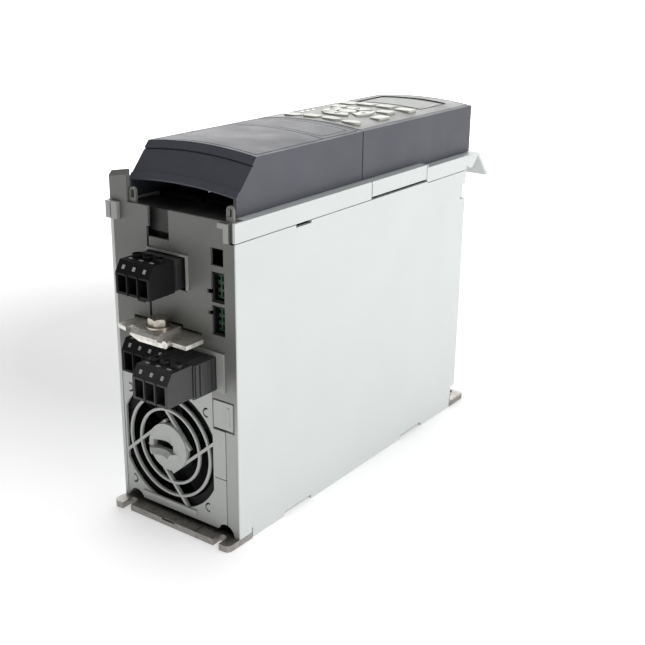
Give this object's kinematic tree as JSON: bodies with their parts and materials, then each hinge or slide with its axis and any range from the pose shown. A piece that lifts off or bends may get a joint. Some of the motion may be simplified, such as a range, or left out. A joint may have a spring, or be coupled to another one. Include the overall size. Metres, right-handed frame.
{
  "type": "variable frequency drive",
  "caption": "Compact book-style variable frequency drive on a mounting plate, with plug-in power connectors, pull-out cooling fan and a removable control panel with keys and display.",
  "frame": {"origin": "centre of the mounting face, on the underside of the mounting plate", "axes": "+X across the width towards the side cover with the cable slot, +Y from the terminal end to the far end, +Z out of the wall"},
  "size_m": [0.09, 0.3125, 0.2189],
  "materials": {
    "light_cover": "satin",
    "end_face": "fine texture",
    "fan_face": "fine texture",
    "dark_cover": "satin",
    "panel_shell": "satin",
    "key_cap": "satin",
    "display": "clear gloss",
    "display_body": "plain",
    "led": "clear",
    "circuit_board": "solder mask",
    "black_plastic": "plain",
    "green_plastic": "plain",
    "plate_metal": "dull",
    "steel": "zinc plated",
    "capacitor": "sleeve",
    "copper_winding": "enamelled"
  },
  "bodies": {
    "chassis": {"base_plate": "plate_metal", "heat_sink": "plate_metal", "right_side_cover": "light_cover", "left_side_cover": "light_cover", "end_panel": "end_face", "far_end_panel": "light_cover", "far_panel_screws": "steel", "front_frame": "light_cover", "frame_clips": "light_cover", "exhaust_hood": "light_cover", "panel_cradle": "dark_cover", "control_deck": "black_plastic", "control_card": "circuit_board", "control_terminals": "black_plastic", "power_board": "circuit_board", "power_module": "black_plastic", "dc_capacitors": "capacitor", "filter_choke": "copper_winding", "mains_socket": "black_plastic", "brake_socket": "black_plastic", "motor_socket": "black_plastic", "relay_sockets": "black_plastic", "ground_clamp": "steel", "ground_bolt": "steel", "ground_washer": "steel"},
    "cover": {"terminal_cover": "dark_cover"},
    "panel": {"control_panel": "panel_shell", "display_window": "display", "display_module": "display_body", "panel_board": "circuit_board", "status_leds": "led"},
    "menu_key_1_body": {"menu_key_1": "key_cap"},
    "menu_key_2_body": {"menu_key_2": "key_cap"},
    "menu_key_3_body": {"menu_key_3": "key_cap"},
    "menu_key_4_body": {"menu_key_4": "key_cap"},
    "back_key_body": {"back_key": "key_cap"},
    "cancel_key_body": {"cancel_key": "key_cap"},
    "info_key_body": {"info_key": "key_cap"},
    "ok_key_body": {"ok_key": "key_cap"},
    "up_key_body": {"up_key": "key_cap"},
    "down_key_body": {"down_key": "key_cap"},
    "left_key_body": {"left_key": "key_cap"},
    "right_key_body": {"right_key": "key_cap"},
    "mode_key_1_body": {"mode_key_1": "key_cap"},
    "mode_key_2_body": {"mode_key_2": "key_cap"},
    "mode_key_3_body": {"mode_key_3": "key_cap"},
    "mode_key_4_body": {"mode_key_4": "key_cap"},
    "fan_module": {"fan_guard": "fan_face", "fan_frame": "black_plastic"},
    "latch": {"fan_latch": "fan_face"},
    "rotor": {"fan_rotor": "black_plastic", "fan_shaft": "steel"},
    "mains_connector": {"mains_plug": "black_plastic", "mains_plug_screws": "steel"},
    "brake_connector": {"brake_plug": "black_plastic", "brake_plug_screws": "steel"},
    "motor_connector": {"motor_plug": "black_plastic", "motor_plug_screws": "steel"},
    "relay_connector_upper": {"relay_plug_upper": "green_plastic"},
    "relay_connector_lower": {"relay_plug_lower": "green_plastic"}
  },
  "joints": [
    {"name": "cover_lift", "type": "slide", "parent": "chassis", "child": "cover", "axis": [0, 0, 1], "range_m": [0, 0.03]},
    {"name": "panel_lift", "type": "slide", "parent": "chassis", "child": "panel", "axis": [0, 0, 1], "range_m": [0, 0.04]},
    {"name": "menu_key_1_press", "type": "slide", "parent": "panel", "child": "menu_key_1_body", "axis": [0, 0, -1], "range_m": [0, 0.0008], "stiffness_N_per_m": 1000, "springref_m": -0.0005},
    {"name": "menu_key_2_press", "type": "slide", "parent": "panel", "child": "menu_key_2_body", "axis": [0, 0, -1], "range_m": [0, 0.0008], "stiffness_N_per_m": 1000, "springref_m": -0.0005},
    {"name": "menu_key_3_press", "type": "slide", "parent": "panel", "child": "menu_key_3_body", "axis": [0, 0, -1], "range_m": [0, 0.0008], "stiffness_N_per_m": 1000, "springref_m": -0.0005},
    {"name": "menu_key_4_press", "type": "slide", "parent": "panel", "child": "menu_key_4_body", "axis": [0, 0, -1], "range_m": [0, 0.0008], "stiffness_N_per_m": 1000, "springref_m": -0.0005},
    {"name": "back_key_press", "type": "slide", "parent": "panel", "child": "back_key_body", "axis": [0, 0, -1], "range_m": [0, 0.0008], "stiffness_N_per_m": 1000, "springref_m": -0.0005},
    {"name": "cancel_key_press", "type": "slide", "parent": "panel", "child": "cancel_key_body", "axis": [0, 0, -1], "range_m": [0, 0.0008], "stiffness_N_per_m": 1000, "springref_m": -0.0005},
    {"name": "info_key_press", "type": "slide", "parent": "panel", "child": "info_key_body", "axis": [0, 0, -1], "range_m": [0, 0.0008], "stiffness_N_per_m": 1000, "springref_m": -0.0005},
    {"name": "ok_key_press", "type": "slide", "parent": "panel", "child": "ok_key_body", "axis": [0, 0, -1], "range_m": [0, 0.0008], "stiffness_N_per_m": 1000, "springref_m": -0.0005},
    {"name": "up_key_press", "type": "slide", "parent": "panel", "child": "up_key_body", "axis": [0, 0, -1], "range_m": [0, 0.0008], "stiffness_N_per_m": 1000, "springref_m": -0.0005},
    {"name": "down_key_press", "type": "slide", "parent": "panel", "child": "down_key_body", "axis": [0, 0, -1], "range_m": [0, 0.0008], "stiffness_N_per_m": 1000, "springref_m": -0.0005},
    {"name": "left_key_press", "type": "slide", "parent": "panel", "child": "left_key_body", "axis": [0, 0, -1], "range_m": [0, 0.0008], "stiffness_N_per_m": 1000, "springref_m": -0.0005},
    {"name": "right_key_press", "type": "slide", "parent": "panel", "child": "right_key_body", "axis": [0, 0, -1], "range_m": [0, 0.0008], "stiffness_N_per_m": 1000, "springref_m": -0.0005},
    {"name": "mode_key_1_press", "type": "slide", "parent": "panel", "child": "mode_key_1_body", "axis": [0, 0, -1], "range_m": [0, 0.0008], "stiffness_N_per_m": 1000, "springref_m": -0.0005},
    {"name": "mode_key_2_press", "type": "slide", "parent": "panel", "child": "mode_key_2_body", "axis": [0, 0, -1], "range_m": [0, 0.0008], "stiffness_N_per_m": 1000, "springref_m": -0.0005},
    {"name": "mode_key_3_press", "type": "slide", "parent": "panel", "child": "mode_key_3_body", "axis": [0, 0, -1], "range_m": [0, 0.0008], "stiffness_N_per_m": 1000, "springref_m": -0.0005},
    {"name": "mode_key_4_press", "type": "slide", "parent": "panel", "child": "mode_key_4_body", "axis": [0, 0, -1], "range_m": [0, 0.0008], "stiffness_N_per_m": 1000, "springref_m": -0.0005},
    {"name": "fan_pull", "type": "slide", "parent": "chassis", "child": "fan_module", "axis": [0, -1, 0], "range_m": [0, 0.06]},
    {"name": "fan_latch_swing", "type": "hinge", "parent": "fan_module", "child": "latch", "pos_m": [0.028, -0.1232, 0.0772], "axis": [0, 0, -1], "range_deg": [0, 15], "stiffness_Nm_per_rad": 0.05, "springref_deg": -2.86},
    {"name": "fan_spin", "type": "hinge", "parent": "fan_module", "child": "rotor", "pos_m": [-0.007, -0.11, 0.0464], "axis": [0, 1, 0], "continuous": true},
    {"name": "mains_pull", "type": "slide", "parent": "chassis", "child": "mains_connector", "axis": [0, -1, 0], "range_m": [0, 0.025]},
    {"name": "brake_pull", "type": "slide", "parent": "chassis", "child": "brake_connector", "axis": [0, -1, 0], "range_m": [0, 0.025]},
    {"name": "motor_pull", "type": "slide", "parent": "chassis", "child": "motor_connector", "axis": [0, -1, 0], "range_m": [0, 0.03]},
    {"name": "relay_upper_pull", "type": "slide", "parent": "chassis", "child": "relay_connector_upper", "axis": [0, -1, 0], "range_m": [0, 0.02]},
    {"name": "relay_lower_pull", "type": "slide", "parent": "chassis", "child": "relay_connector_lower", "axis": [0, -1, 0], "range_m": [0, 0.02]}
  ]
}
